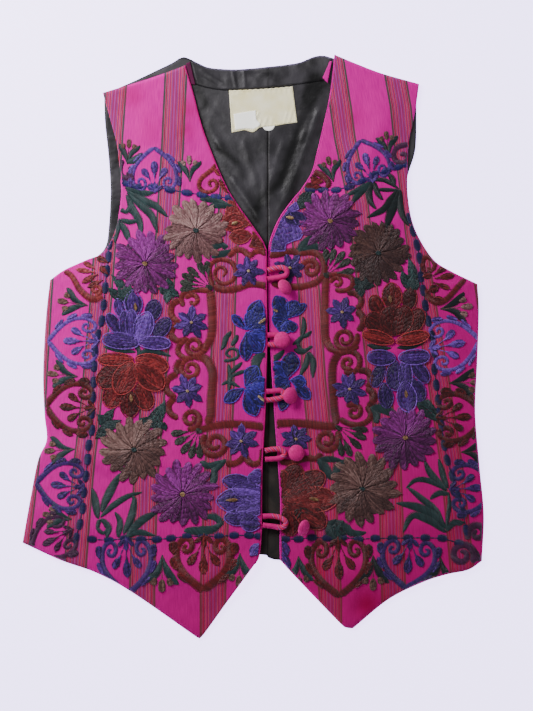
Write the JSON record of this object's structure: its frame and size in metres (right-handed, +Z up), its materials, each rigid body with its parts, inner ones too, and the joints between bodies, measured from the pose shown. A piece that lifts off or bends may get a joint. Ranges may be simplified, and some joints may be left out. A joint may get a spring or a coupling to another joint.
{
  "type": "embroidered vest",
  "caption": "Sleeveless pointed-hem waistcoat with floral embroidered striped fronts, black satin back, cloth loops and covered buttons, lying flat",
  "frame": {"origin": "bottom centre of the bounding box, on the surface the vest lies on", "axes": "+Y runs from the hem to the neck, +X to the wearer's left side, which is on the viewer's right, and +Z up out of the vest's front"},
  "size_m": [0.4615, 0.583, 0.0191],
  "materials": {
    "front_cloth": "hand-loomed cotton in bright pink with warp stripe bands, matt, covered with long satin stitches",
    "back_satin": "black satin with a soft sheen",
    "facing_satin": "black satin band with a soft sheen, lightly puckered",
    "front_facing": "pink cotton, matt",
    "label": "cream woven label, matt, blank",
    "care_tab": "white printed-cloth tab, matt, blank",
    "loops": "bias tubes of the pink and striped cotton, matt",
    "buttons": "buttons covered in plain pink cotton, matt"
  },
  "bodies": {
    "root": {"front_left": "front_cloth", "front_right": "front_cloth", "back_left": "back_satin", "back_right": "back_satin", "back_neck_facing": "facing_satin", "front_facing_left": "front_facing", "front_facing_right": "front_facing", "label": "label", "care_tab": "care_tab", "loop_1": "loops", "loop_2": "loops", "loop_3": "loops", "loop_4": "loops", "loop_5": "loops", "button_1": "buttons", "button_2": "buttons", "button_3": "buttons", "button_4": "buttons", "button_5": "buttons"}
  },
  "joints": []
}
